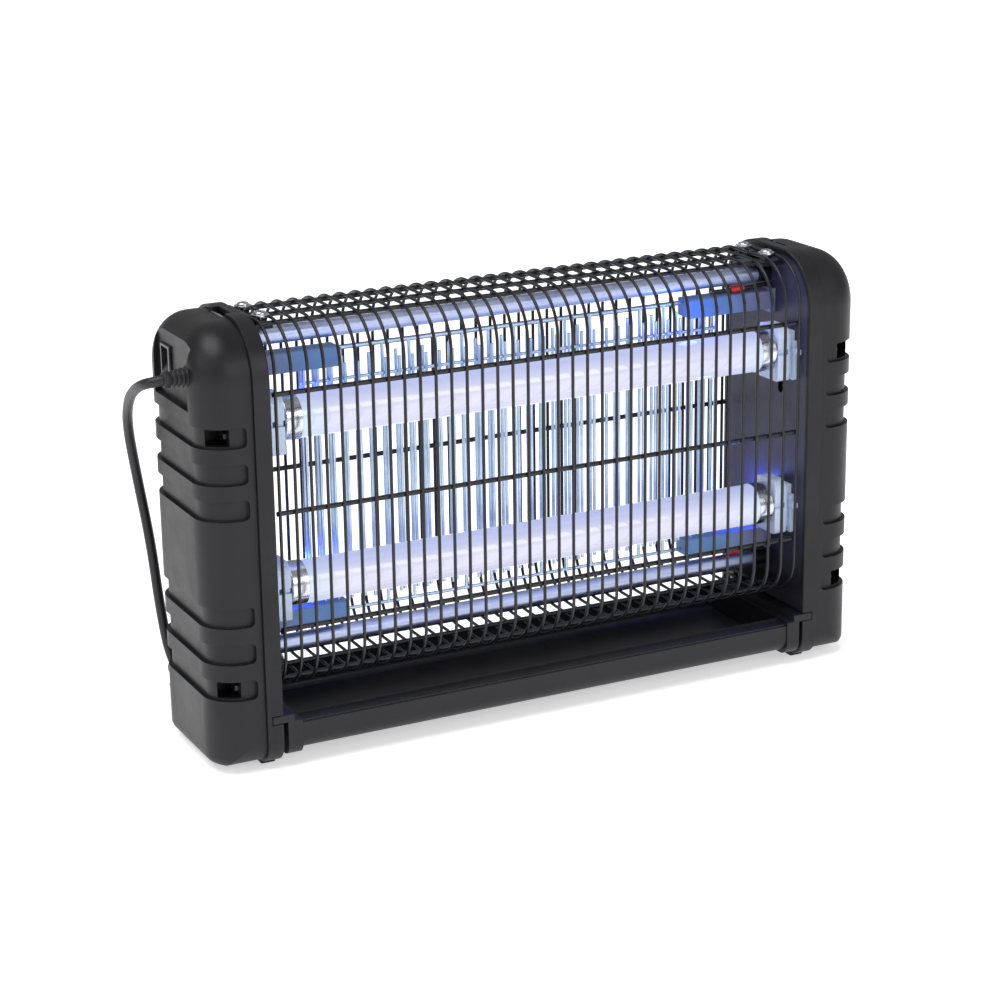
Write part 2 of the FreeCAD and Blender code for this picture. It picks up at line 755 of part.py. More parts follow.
# ---------------------------------------------------------------- lamps and lamp holders
def lamp(level):
    """Tube, two aluminium caps, four pins and the rotors that turn with them."""
    axis = f"lamp_{level}"
    glass_span = ("-(lamp_half - 1.2)", "lamp_half - 1.2")
    glass = rod(f"{level}_glass_outer", "glass_radius", glass_span, "lamp_y", axis)
    hollow_span = ("-(lamp_half - 2.4)", "lamp_half - 2.4")
    hollow = rod(f"{level}_glass_hollow", "glass_radius - glass_wall", hollow_span, "lamp_y", axis)
    part(f"lamp_{level}_glass", cut(f"lamp_{level}_glass", glass, [hollow]))
    ends = []
    pins = []
    for side, sign in SIDES:
        key = f"{level}_{side}"
        outer = rod(
            f"{key}_cap_outer",
            "lampcap_radius",
            ("lamp_half - lampcap_length", "lamp_half"),
            "lamp_y",
            axis,
            "X",
            sign,
        )
        edge = sign * size("lamp_half")
        soft = rounded(f"{key}_cap_soft", outer, [(1.2, lambda e: lies_at(e, X_AXIS, edge))])
        inner = rod(
            f"{key}_cap_inner",
            "glass_radius",
            ("lamp_half - 12", "lamp_half - 1.2"),
            "lamp_y",
            axis,
            "X",
            sign,
        )
        ends.append(cut(f"{key}_cap", soft, [inner]))
        for way in (-1, 1):
            z = f"{axis} + {way} * pin_half"
            pin = f"{key}_pin_low" if way < 0 else f"{key}_pin_high"
            pin_x = ("lamp_half", "lamp_half + pin_length")
            pins.append(rod(pin, "pin_radius", pin_x, "lamp_y", z, "X", sign))
    part(f"lamp_{level}_caps", together(f"lamp_{level}_caps", ends))
    part(f"lamp_{level}_pins", together(f"lamp_{level}_pins", pins))


def rotors(level):
    """Discs in the lamp holders that grip the pins and turn a quarter turn with the lamp."""
    axis = f"lamp_{level}"
    discs = []
    for side, sign in SIDES:
        key = f"rotor_{level}_{side}"
        span = ("holder_face + 0.2", "holder_face + 0.2 + rotor_thick")
        disc = rod(f"{key}_disc", "rotor_radius", span, "lamp_y", axis, "X", sign)
        slot_x = ("holder_face", "holder_face + 1.4")
        slot = block(
            f"{key}_slot",
            slot_x,
            ("lamp_y - 1.6", "lamp_y + 1.6"),
            (f"{axis} - rotor_radius - 1", f"{axis} + rotor_radius + 1"),
            sign,
        )
        holes = []
        for way in (-1, 1):
            z = f"{axis} + {way} * pin_half"
            hole_x = ("holder_face", "holder_face + 9")
            holes.append(rod(f"{key}_hole_{way}", "pin_radius", hole_x, "lamp_y", z, "X", sign))
        discs.append(cut(key, disc, [slot, *holes]))
    return part(f"lamp_{level}_rotors", together(f"lamp_{level}_rotors", discs))


def lamp_holder(level, side, sign):
    """Bi-pin holder: a body with a slot and a round bore for the rotor, a neck, and a flange on the plate."""
    name = f"lamp_holder_{level}_{side}"
    axis = f"lamp_{level}"
    top = size(axis) + size("holder_rise")
    width = ("lamp_y - holder_half", "lamp_y + holder_half")
    base = block(
        f"{name}_block",
        ("holder_face", "holder_back"),
        width,
        (f"{axis} - holder_drop", f"{axis} + holder_rise"),
        sign,
    )
    soft = rounded(
        f"{name}_soft",
        base,
        [
            (7.0, lambda e: runs_along(e, X_AXIS) and lies_at(e, Z_AXIS, top)),
            (2.0, lambda e: runs_along(e, X_AXIS) and not lies_at(e, Z_AXIS, top)),
        ],
    )
    neck = block(
        f"{name}_neck",
        ("holder_back - 1", "plate_face"),
        ("lamp_y - holder_half + 3", "lamp_y + holder_half - 3"),
        (f"{axis} - holder_drop + 3", f"{axis} + holder_rise - 4"),
        sign,
    )
    flange = block(
        f"{name}_flange",
        ("holder_foot", "plate_face"),
        width,
        (f"{axis} - holder_drop", f"{axis} + 6"),
        sign,
    )
    tail_y = ("lamp_y - holder_half - 5", "lamp_y - holder_half + 1")
    tail = block(
        f"{name}_tail",
        ("holder_foot - 0.6", "plate_face - 0.2"),
        tail_y,
        (f"{axis} - 1.6", f"{axis} + 1.6"),
        sign,
    )
    solid = fuse(f"{name}_solid", [soft, neck, flange, tail])
    deep = ("holder_face - 1", "holder_face + 7.4")
    bore = rod(f"{name}_bore", "rotor_radius + rotor_gap", deep, "lamp_y", axis, "X", sign)
    entry_y = ("lamp_y - holder_half - 1", "lamp_y")
    entry = block(f"{name}_entry", deep, entry_y, (f"{axis} - 1.7", f"{axis} + 1.7"), sign)
    return part(name, cut(name, solid, [bore, entry]))


for level in ("upper", "lower"):
    lamp(level)
    rotors(level)
    for side, sign in SIDES:
        lamp_holder(level, side, sign)


# ---------------------------------------------------------------- high-voltage grid
def rod_row(name, first, step, y, half):
    """A row of upright rods as separate cylinders, one in every step of the rod places."""
    z = (f"grid_middle - {half}", f"grid_middle + {half}")
    return [
        rod(f"{name}_{i}", "rod_radius", f"{i} * rod_pitch - rod_half", y, z, "Z")
        for i in range(first, RODS, step)
    ]


def rails(name, distance, y):
    span = ("-rod_half - rod_radius", "rod_half + rod_radius")
    return [
        rod(f"{name}_{key}", "rod_radius", span, y, f"grid_middle + {way} * {distance}")
        for key, way in (("low", -1), ("high", 1))
    ]


outer_comb = rod_row("tall_rod", 0, 2, "row_half", "rail_outer")
outer_comb += rails("outer_rail", "rail_outer", "row_half")
part("grid_comb_outer", fuse("grid_comb_outer", outer_comb))

inner_comb = rod_row("short_rod", 1, 2, "row_half", "short_half")
inner_comb += rod_row("front_rod", 0, 1, "-row_half", "front_half")
inner_comb += rails("inner_rail", "rail_inner", "-0.7")
for i in range(1, RODS, 2):
    for key, way in (("low", -1), ("high", 1)):
        z = f"grid_middle + {way} * rail_inner"
        x = f"{i} * rod_pitch - rod_half"
        inner_comb.append(rod(f"bridge_{key}_{i}", 0.7, x, (-0.7, "row_half"), z, "Y"))
part("grid_comb_inner", fuse("grid_comb_inner", inner_comb))


def insulator_arm(level, side, sign):
    """Arm from the end plate that holds the ends of both combs."""
    name = f"insulator_arm_{level}_{side}"
    way = 1 if level == "upper" else -1
    z = ("grid_middle + arm_inner", "grid_middle + arm_outer")
    flange_z = ("grid_middle + arm_inner - 2", "grid_middle + arm_outer + 2")
    if way < 0:
        z = ("grid_middle - arm_outer", "grid_middle - arm_inner")
        flange_z = ("grid_middle - arm_outer - 2", "grid_middle - arm_inner + 2")
    arm = block(f"{name}_arm", ("arm_tip", "plate_face"), ("-arm_half", "arm_half"), z, sign)
    at = sign * size("arm_tip")
    soft = rounded(f"{name}_soft", arm, [(0.8, lambda e: lies_at(e, X_AXIS, at))])
    flange_x = ("plate_face - 3.6", "plate_face")
    flange = block(f"{name}_flange", flange_x, ("-arm_half - 2", "arm_half + 2"), flange_z, sign)
    solid = fuse(f"{name}_solid", [soft, flange])
    bored = cut(f"{name}_bored", solid, [parts["grid_comb_outer"]])
    return part(name, cut(name, bored, [parts["grid_comb_inner"]]))


for level in ("upper", "lower"):
    for side, sign in SIDES:
        insulator_arm(level, side, sign)


# ---------------------------------------------------------------- routed tubes
def route_wire(points, label):
    """Straight runs joined by tangent arcs, each as large as its two runs allow."""
    points = [Vector(*p) for p in points]
    edges = []
    start = points[0]
    radii = []
    for before, corner, after in zip(points, points[1:], points[2:]):
        back = (before - corner).normalize()
        ahead = (after - corner).normalize()
        turn = math.pi - back.getAngle(ahead)
        shorter = min((corner - before).Length, (after - corner).Length)
        reach = 0.45 * shorter
        radii.append(reach / math.tan(turn / 2))
        enter = corner + back * reach
        leave = corner + ahead * reach
        bisector = (back + ahead).normalize()
        deep = radii[-1] / math.cos(turn / 2) - radii[-1]
        edges.append(Part.LineSegment(start, enter).toShape())
        edges.append(Part.Arc(enter, corner + bisector * deep, leave).toShape())
        start = leave
    edges.append(Part.LineSegment(start, points[-1]).toShape())
    print(label, "bend radii:", " ".join(f"{r:.1f}" for r in radii))
    return Part.Wire(edges)


def tube_along(points, radius, label):
    """A closed tube of that radius along a route."""
    wire = route_wire(points, label)
    direction = Vector(*points[1]) - Vector(*points[0])
    ring = Part.Wire(Part.Circle(Vector(*points[0]), direction, radius).toShape())
    shape = wire.makePipeShell([ring], True, False, 2)
    ideal = math.pi * radius**2 * wire.Length
    print(
        f"{label}: {wire.Length:.1f} mm long, volume {shape.Volume:.0f}, section times length {ideal:.0f}"
    )
    return shape if shape.ShapeType == "Solid" else Part.Solid(shape.Shells[0])


def shaped_part(label, shape, placement=Placement()):
    """A sub-part whose shape comes from Part's own functions."""
    feature = doc.addObject("Part::Feature", label)
    feature.Shape = shape
    feature.Placement = placement
    return part(label, feature)


# black leads to the grid, one above the upper right arm and one below the lower right arm
middle = size("grid_middle")
lead_off = size("arm_outer") + 2.3
LEAD_RADIUS = 1.4
leads = []
sleeves = []
for way in (1, -1):
    level = middle + way * lead_off
    route = [
        (size("plate_face") - 0.3, -3.0, level + way * 1.9),
        (163.0, -3.0, level + way * 0.6),
        (150.0, -2.0, level),
        (135.0, -0.5, level - way * 0.1),
    ]
    lead = tube_along(route, LEAD_RADIUS, f"lead {way}")
    sleeve = Part.makeCylinder(
        2.1,
        9.0,
        Vector(148.0, -1.85, level + way * 0.1),
        Vector(9.0, -0.7, way * 0.4),
    )
    leads.append(lead)
    sleeves.append(sleeve.cut(lead))


# ---------------------------------------------------------------- collecting tray
def tray():
    """Trough with a hand rim at its front, and two ends with the tabs it slides on."""
    x = ("-tray_end", "tray_end")
    outer = block("trough_outer", x, ("-tray_front", "tray_back"), ("tray_low", "tray_rim"))
    under = rounded(
        "trough_under",
        outer,
        [(size("tray_round"), lambda e: runs_along(e, X_AXIS) and lies_at(e, Z_AXIS, size("tray_low")))],
    )
    inner = block(
        "trough_inner",
        ("-tray_end - 1", "tray_end + 1"),
        ("-tray_front + 11.5", "tray_back - tray_wall"),
        ("tray_low + tray_wall", "tray_rim + 1"),
    )
    hollow = rounded(
        "trough_hollow",
        inner,
        [(4.0, lambda e: runs_along(e, X_AXIS) and e.CenterOfMass.z < size("tray_rim"))],
    )
    lip = block(
        "trough_lip",
        x,
        ("-tray_front + 10.0", "-tray_front + 11.5"),
        ("tray_rim - 2", "tray_rim + 1.0"),
    )
    step = block(
        "trough_step",
        ("-tray_end - 1", "tray_end + 1"),
        ("-tray_front - 1", "-tray_front + 1.0"),
        ("tray_rim - 1.2", "tray_rim + 1"),
    )
    solid = fuse("trough_solid", [cut("trough_shell", under, [hollow]), lip])
    part("tray_trough", cut("tray_trough", solid, [step]))

    for side, sign in SIDES:
        name = f"tray_end_{side}"
        x = ("tray_end", "tray_end_out")
        plate = block(
            f"{name}_plate",
            x,
            ("-depth_half", "tray_back + 0.8"),
            ("tray_low - 2.4", "tray_rim + 1.4"),
            sign,
        )
        soft = rounded(
            f"{name}_soft",
            plate,
            [
                (
                    size("tray_round"),
                    lambda e: runs_along(e, X_AXIS) and e.CenterOfMass.z < size("tray_rim") - 5,
                ),
                (1.2, lambda e: runs_along(e, X_AXIS) and e.CenterOfMass.z > size("tray_rim") - 5),
            ],
        )
        tab = block(
            f"{name}_tab",
            ("tray_end_out - 4", "tab_out"),
            ("-depth_half", 38.0),
            ("tab_low", "tab_high"),
            sign,
        )
        part(name, fuse(name, [soft, tab]))


tray()


# ---------------------------------------------------------------- rocker switch
SWITCH_TILT = 10.0


def switch():
    """Panel rocker switch: a bezel with a body behind it, and a rocker on a level axis along Y."""
    x_face = ("panel_face", "panel_face + 1.6")
    bezel_y = ("switch_y - bezel_half", "switch_y + bezel_half")
    bezel = block("switch_bezel", x_face, bezel_y, ("switch_z - bezel_rise", "switch_z + bezel_rise"), -1)
    at = -(size("panel_face") + 1.6)
    soft = rounded("switch_bezel_soft", bezel, [(0.7, lambda e: lies_at(e, X_AXIS, at))])
    body = block(
        "switch_body",
        (198, "panel_face + 0.5"),
        ("switch_y - 6.4", "switch_y + 6.4"),
        ("switch_z - 9.6", "switch_z + 9.6"),
        -1,
    )
    solid = fuse("switch_solid", [soft, body])
    well = block(
        "switch_well",
        (203, "panel_face + 3"),
        ("switch_y - 5.3", "switch_y + 5.3"),
        ("switch_z - 8.9", "switch_z + 8.9"),
        -1,
    )
    tab_y = ("switch_y - 3.1", "switch_y + 3.1")
    tabs = [
        block(f"switch_tab_{i}", (190, 199), tab_y, (f"switch_z + {z} - 0.4", f"switch_z + {z} + 0.4"), -1)
        for i, z in enumerate((-5.5, 5.5))
    ]
    housing = fuse("switch_housing", [cut("switch_shell", solid, [well]), *tabs])
    part("switch_housing", housing)

    # the rocker is a shallow V seen from the side, turned about its axis to the lit position
    axis_x = -(size("panel_face") - 4.4)
    y0 = size("switch_y") - 4.9
    z_mid = size("switch_z")
    profile = [(5.2, 7.6), (3.2, 0.0), (5.2, -7.6), (-3.0, -6.8), (-5.0, 0.0), (-3.0, 6.8)]
    points = [Vector(axis_x - out, y0, z_mid + up) for out, up in profile]
    face = Part.Face(Part.makePolygon([*points, points[0]]))
    rocker = face.extrude(Vector(0, 9.8, 0))
    rocker = rocker.makeFillet(0.6, [e for e in rocker.Edges if e.CenterOfMass.x < axis_x - 3])
    tilt = Placement(Vector(), Rotation(Y_AXIS, SWITCH_TILT), Vector(axis_x, 0, z_mid))
    shaped_part("switch_rocker", rocker, tilt)


switch()


# ---------------------------------------------------------------- cord
def strain_relief():
    """Tapered boot with a flange outside the wall, a neck through it and a ribbed bend guard."""
    tip = size("gland_tip")
    face = size("panel_face")
    neck = Part.makeCylinder(4.9, 12.0, Vector(face - 11.5, 0, 0), X_AXIS)
    collar = Part.makeCylinder(6.2, 2.0, Vector(face - 13.4, 0, 0), X_AXIS)
    flange = Part.makeCylinder(6.7, 1.8, Vector(face, 0, 0), X_AXIS)
    boot = Part.makeCone(5.9, 4.3, tip - face, Vector(face, 0, 0), X_AXIS)
    solid = neck.multiFuse([collar, flange, boot])
    for i in range(4):
        at = face + 3.2 + 2.6 * i
        ring = Part.makeCylinder(8, 1.1, Vector(at, 0, 0), X_AXIS)
        core = Part.makeCylinder(4.4 - 0.28 * i, 1.1, Vector(at, 0, 0), X_AXIS)
        solid = solid.cut(ring.cut(core))
    bore = Part.makeCylinder(size("cord_radius") + 0.02, 60, Vector(face - 40, 0, 0), X_AXIS)
    solid = solid.cut(bore).mirror(Vector(), X_AXIS)
    shaped_part("strain_relief", solid, Placement(Vector(0, size("gland_y"), size("gland_z")), Rotation()))


strain_relief()

# from inside the strain relief, out of its tip, round the rear corner of the left end cap, down behind
# it and into the coil on the surface
CORD_ROUTE = [
    (-226.0, -23.0, 232.0),
    (-234.5, -22.5, 231.4),
    (-238.0, -14.0, 228.5),
    (-237.0, 3.0, 221.5),
    (-233.0, 26.0, 210.0),
    (-227.5, 48.0, 190.0),
    (-219.0, 62.0, 155.0),
    (-212.0, 64.0, 112.0),
    (-208.5, 63.5, 68.0),
    (-204.0, 62.0, 34.0),
    (-190.0, 60.8, 11.0),
    (-170.5, 59.2, 3.4),
]
shaped_part("power_cord", tube_along(CORD_ROUTE, size("cord_radius"), "power cord"))

coil_centre = Vector(size("coil_x"), size("coil_y"), 0)
coil_out = Part.makeCylinder(size("coil_mean") + size("coil_half"), size("coil_height"), coil_centre)
coil_in = Part.makeCylinder(size("coil_mean") - size("coil_half"), size("coil_height"), coil_centre)
shaped_part("cord_coil", coil_out.cut(coil_in))

# the plug lies on the coil, and the cord's last turn rises into it
PLUG_X = -135.0
PLUG_BACK = 93.0
PLUG_LOW = size("coil_height")
TAIL_ROUTE = [
    (-157.7, 119.5, 20.5),
    (-171.5, 118.5, 21.3),
    (-182.8, 110.5, 21.4),
    (-189.2, 97.5, 21.3),
    (-189.0, 83.5, 21.3),
    (-181.8, 71.2, 21.4),
    (-170.0, 64.0, 21.6),
    (-156.8, 63.2, 22.4),
    (-144.7, 69.0, 23.6),
    (-136.8, 79.8, 24.8),
    (-135.0, 93.0, 25.0),
]
shaped_part("cord_tail", tube_along(TAIL_ROUTE, size("cord_radius"), "cord tail"))


def plug():
    """Flat two-pin plug that lies on the coil with its pins away from the housing."""
    thick = 13.6
    body = Part.makeBox(26.0, 35.0, thick, Vector(PLUG_X - 13.0, PLUG_BACK, PLUG_LOW))
    upright = [e for e in body.Edges if runs_along(e, Z_AXIS) and e.CenterOfMass.y < PLUG_BACK + 1]
    body = body.makeFillet(8.0, upright)
    body = body.makeFillet(2.6, [e for e in body.Edges if abs(e.CenterOfMass.z - PLUG_LOW - thick / 2) > 5])
    shaped_part("plug_body", body)
    pins = []
    for way in (-1, 1):
        start = Vector(PLUG_X + way * 9.0, PLUG_BACK + 35.0, PLUG_LOW + thick / 2)
        pin = Part.makeCylinder(2.0, 19.0, start, Y_AXIS)
        pins.append(pin.makeFillet(1.2, [e for e in pin.Edges if lies_at(e, Y_AXIS, PLUG_BACK + 54.0)]))
    shaped_part("plug_pins", Part.makeCompound(pins))


plug()
shaped_part("grid_leads", Part.makeCompound(leads))
shaped_part("lead_sleeves", Part.makeCompound(sleeves))


# ---------------------------------------------------------------- pieces inside the end caps
clamp = block("clamp_block", (188, 200), ("gland_y - 9", "gland_y + 9"), (212, 219), -1)
part("cord_clamp", clamp)
part("terminal_block", block("terminal_base", (186.4, 198), (-16, 16), (192, 206), -1))
for level, z in (("upper", (110, 168)), ("lower", (34, 92))):
    case = block(f"ballast_{level}_case", (186.4, 206), (-17, 17), z, -1)
    part(
        f"ballast_{level}",
        rounded(f"ballast_{level}_soft", case, [(1.5, lambda e: runs_along(e, X_AXIS))]),
    )

core = block("transformer_outer", (187, 205), (-24, 24), (128, 168))
windows = [
    block(f"transformer_window_{i}", (186, 206), y, (138, 158))
    for i, y in enumerate(((-16, -8), (8, 16)))
]
part("transformer_core", cut("transformer_core", core, windows))
coil_box = block("transformer_coil_outer", (187.6, 211), (-15.6, 15.6), (138.4, 157.6))
limb = block("transformer_limb", (186.9, 205.1), (-8.0, 8.0), (138, 158))
part("transformer_coil", cut("transformer_coil", coil_box, [limb]))
board = block("board_plate", (186.8, 188.4), (-24, 24), (60, 116))
part("multiplier_board", board)
doc.recompute()
capacitors = [
    rod(f"capacitor_{i}", 4.2, (188.4, 202), -15 + 15 * (i % 3), 74 + 26 * (i // 3)) for i in range(6)
]
part("multiplier_capacitors", together("multiplier_capacitors", capacitors))

# ---------------------------------------------------------------- check and write
doc.recompute()
faults = []
for thing in doc.Objects:
    if any(word in ("Invalid", "Error") for word in thing.State):
        faults.append(f"{thing.Name}: {thing.State}")
for label, thing in parts.items():
    shape = thing.Shape
    if shape.isNull() or not shape.isValid():
        faults.append(f"{label}: null or not valid")
    elif not shape.Solids:
        faults.append(f"{label}: no solid")
if faults:
    print("\n".join(faults))
    sys.exit(1)
for label, thing in parts.items():
    box = thing.Shape.BoundBox
    print(
        f"{label}: {len(thing.Shape.Solids)} solids, "
        f"x {box.XMin:.1f} {box.XMax:.1f}, y {box.YMin:.1f} {box.YMax:.1f}, z {box.ZMin:.1f} {box.ZMax:.1f}"
    )
    thing.Shape.exportStep(f"parts/{label}.step")
print(len(parts), "parts")
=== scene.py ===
import bmesh
import bpy
import math
from mathutils import Matrix, Vector

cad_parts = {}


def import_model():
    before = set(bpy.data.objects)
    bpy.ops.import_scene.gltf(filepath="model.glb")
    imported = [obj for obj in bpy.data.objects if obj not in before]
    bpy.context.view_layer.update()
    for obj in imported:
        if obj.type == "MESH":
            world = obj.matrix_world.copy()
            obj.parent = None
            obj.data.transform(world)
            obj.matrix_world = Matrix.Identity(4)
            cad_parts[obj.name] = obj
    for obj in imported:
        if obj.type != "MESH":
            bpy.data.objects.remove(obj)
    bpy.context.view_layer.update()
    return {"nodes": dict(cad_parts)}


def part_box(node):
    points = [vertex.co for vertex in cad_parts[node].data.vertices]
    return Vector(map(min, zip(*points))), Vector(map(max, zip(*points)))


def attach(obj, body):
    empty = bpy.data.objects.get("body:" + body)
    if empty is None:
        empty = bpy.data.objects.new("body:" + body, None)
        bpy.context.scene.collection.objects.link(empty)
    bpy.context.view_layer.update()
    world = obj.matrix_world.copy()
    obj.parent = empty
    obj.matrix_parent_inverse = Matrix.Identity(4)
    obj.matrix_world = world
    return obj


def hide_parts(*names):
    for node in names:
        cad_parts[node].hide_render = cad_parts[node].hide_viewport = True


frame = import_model()
nodes = frame["nodes"]
scene = bpy.context.scene


# ---------------------------------------------------------------- camera
def make_camera():
    data = bpy.data.cameras.new("camera")
    data.lens = 90.67
    data.sensor_width = 36.0
    data.clip_start = 0.05
    data.clip_end = 60.0
    camera = bpy.data.objects.new("camera", data)
    right = Vector((0.8916, -0.4526, -0.0133)).normalized()
    back = Vector((-0.4287, -0.8534, 0.2965)).normalized()
    up = back.cross(right).normalized()
    turned = Matrix((right, up, back)).transposed().to_4x4()
    camera.matrix_world = Matrix.Translation((-0.66386, -1.29747, 0.57495)) @ turned
    scene.collection.objects.link(camera)
    scene.camera = camera


make_camera()


# ---------------------------------------------------------------- node helpers
class Material:
    """A material with its node tree, and short calls that add nodes to it."""

    def __init__(self, name):
        self.made = bpy.data.materials.new(name)
        self.made.use_nodes = True
        self.tree = self.made.node_tree
        self.tree.nodes.clear()
        self.out = self.tree.nodes.new("ShaderNodeOutputMaterial")
        self.shader = self.tree.nodes.new("ShaderNodeBsdfPrincipled")
        self.link(self.shader.outputs[0], self.out.inputs[0])
        self.place = self.tree.nodes.new("ShaderNodeTexCoord").outputs["Object"]

    def link(self, source, target):
        self.tree.links.new(source, target)

    def put(self, socket, value):
        """Link a socket to another one, or set it to a value or a colour."""
        if isinstance(value, bpy.types.NodeSocket):
            self.link(value, socket)
        elif isinstance(value, (tuple, list)) and len(value) == 3 and socket.type == "RGBA":
            socket.default_value = (*value, 1.0)
        else:
            socket.default_value = value

    def set(self, **values):
        for key, value in values.items():
            self.put(self.shader.inputs[key.replace("_", " ")], value)

    def stretched(self, x, y, z):
        """The place scaled on each axis, for a pattern drawn out along one of them."""
        node = self.tree.nodes.new("ShaderNodeMapping")
        self.link(self.place, node.inputs["Vector"])
        node.inputs["Scale"].default_value = (x, y, z)
        return node.outputs[0]

    def noise(self, scale, detail=2.0, rough=0.5, where=None):
        node = self.tree.nodes.new("ShaderNodeTexNoise")
        self.link(where or self.place, node.inputs["Vector"])
        node.inputs["Scale"].default_value = scale
        node.inputs["Detail"].default_value = detail
        node.inputs["Roughness"].default_value = rough
        return node.outputs[0]

    def spread(self, value, low, high, to_low, to_high):
        """Map a range to another one, with soft ends."""
        node = self.tree.nodes.new("ShaderNodeMapRange")
        node.interpolation_type = "SMOOTHSTEP"
        self.put(node.inputs["Value"], value)
        for key, number in (("From Min", low), ("From Max", high), ("To Min", to_low), ("To Max", to_high)):
            node.inputs[key].default_value = number
        return node.outputs[0]

    def calc(self, kind, a, b):
        """A math node of that kind."""
        node = self.tree.nodes.new("ShaderNodeMath")
        node.operation = kind
        self.put(node.inputs[0], a)
        self.put(node.inputs[1], b)
        return node.outputs[0]

    def blend(self, share, first, second):
        """Mix two colours."""
        node = self.tree.nodes.new("ShaderNodeMix")
        node.data_type = "RGBA"
        self.put(node.inputs[0], share)
        self.put(node.inputs[6], first)
        self.put(node.inputs[7], second)
        return node.outputs[2]

    def axis(self, letter, absolute=False):
        """The place along one axis of the row frame, or its distance from the middle."""
        node = self.tree.nodes.new("ShaderNodeSeparateXYZ")
        self.link(self.place, node.inputs[0])
        value = node.outputs["XYZ".index(letter)]
        return self.calc("ABSOLUTE", value, 0.0) if absolute else value

    def facing(self, letter):
        """The surface normal's share along one axis of the row frame."""
        geometry = self.tree.nodes.new("ShaderNodeNewGeometry")
        node = self.tree.nodes.new("ShaderNodeSeparateXYZ")
        self.link(geometry.outputs["Normal"], node.inputs[0])
        return node.outputs["XYZ".index(letter)]

    def bump(self, height, deep, soft_edge=0.0):
        """Bump of that depth in metres, on edges softened by that radius."""
        node = self.tree.nodes.new("ShaderNodeBump")
        node.inputs["Distance"].default_value = deep
        self.put(node.inputs["Height"], height)
        if soft_edge:
            bevel = self.tree.nodes.new("ShaderNodeBevel")
            bevel.samples = 4
            bevel.inputs["Radius"].default_value = soft_edge
            self.link(bevel.outputs[0], node.inputs["Normal"])
        self.link(node.outputs[0], self.shader.inputs["Normal"])


def moulded(
    name,
    dark,
    light,
    rough=(0.42, 0.6),
    grain=1500.0,
    deep=0.00004,
    soft=0.0005,
    coat=0.0,
    shine=0.32,
):
    """Moulded plastic: spark-eroded grain, slow changes of tone, and a little rubbed-in shine."""
    m = Material(name)
    slow = m.noise(22.0, 4.0, 0.6)
    fine = m.noise(grain, 2.0, 0.6)
    m.set(Base_Color=m.blend(m.spread(slow, 0.32, 0.7, 0.0, 1.0), dark, light))
    worn = m.calc("MULTIPLY_ADD", m.noise(90.0, 3.0, 0.65), 0.35)
    worn.node.inputs[2].default_value = 0.3
    both = m.calc("ADD", m.calc("MULTIPLY", slow, 0.6), m.calc("MULTIPLY", worn, 0.5))
    m.set(Roughness=m.spread(both, 0.35, 0.75, rough[0], rough[1]))
    m.shader.inputs["Coat Weight"].default_value = coat
    m.shader.inputs["Specular IOR Level"].default_value = shine
    m.bump(fine, deep, soft)
    return m


def metal(
    name,
    dark,
    light,
    rough=(0.2, 0.36),
    along="X",
    grain=2400.0,
    deep=0.00001,
    soft=0.0,
    metallic=1.0,
):
    """Metal with drawing or turning lines along one axis, and faint stains."""
    m = Material(name)
    scale = {"X": (0.02, 1.0, 1.0), "Y": (1.0, 0.02, 1.0), "Z": (1.0, 1.0, 0.02)}[along]
    lines = m.noise(grain, 2.0, 0.6, m.stretched(*scale))
    stains = m.noise(60.0, 4.0, 0.65)
    m.set(Base_Color=m.blend(m.spread(stains, 0.35, 0.7, 0.0, 1.0), dark, light))
    m.shader.inputs["Metallic"].default_value = metallic
    m.set(Roughness=m.spread(m.calc("ADD", lines, stains), 0.6, 1.4, rough[0], rough[1]))
    m.bump(lines, deep, soft)
    return m


# ---------------------------------------------------------------- materials
BLACK_DARK = (0.005, 0.005, 0.0065)
BLACK_LIGHT = (0.010, 0.010, 0.0122)


def black_plastic(name):
    return moulded(name, BLACK_DARK, BLACK_LIGHT, (0.36, 0.52), 1300.0, 0.00005)


def frame_material():
    """Black moulded plastic, with the lamps' violet light painted onto the inner face of the end plates."""
    m = black_plastic("frame_black")
    slow = m.noise(30.0, 4.0, 0.6)
    black = m.blend(m.spread(slow, 0.3, 0.7, 0.0, 1.0), BLACK_DARK, BLACK_LIGHT)
    # painted lamp light: the violet-grey colour stands for the lamps' glow falling on the black plate
    painted_plate_light = m.blend(m.spread(slow, 0.3, 0.7, 0.0, 1.0), (0.036, 0.036, 0.060), (0.050, 0.049, 0.078))
    flat = m.spread(m.calc("ABSOLUTE", m.facing("X"), 0.0), 0.93, 0.97, 0.0, 1.0)
    # painted lamp light, only on the flat inner face of the end plates, at 0.1766 from the middle, and
    # fading out low down
    inside = m.spread(m.axis("X", True), 0.1768, 0.1772, 1.0, 0.0)
    inside = m.calc("MULTIPLY", inside, m.spread(m.axis("X", True), 0.1762, 0.1764, 0.0, 1.0))
    inside = m.calc("MULTIPLY", inside, flat)
    inside = m.calc("MULTIPLY", inside, m.spread(m.axis("Z"), 0.050, 0.105, 0.12, 1.0))
    m.set(Base_Color=m.blend(inside, black, painted_plate_light))
    return m


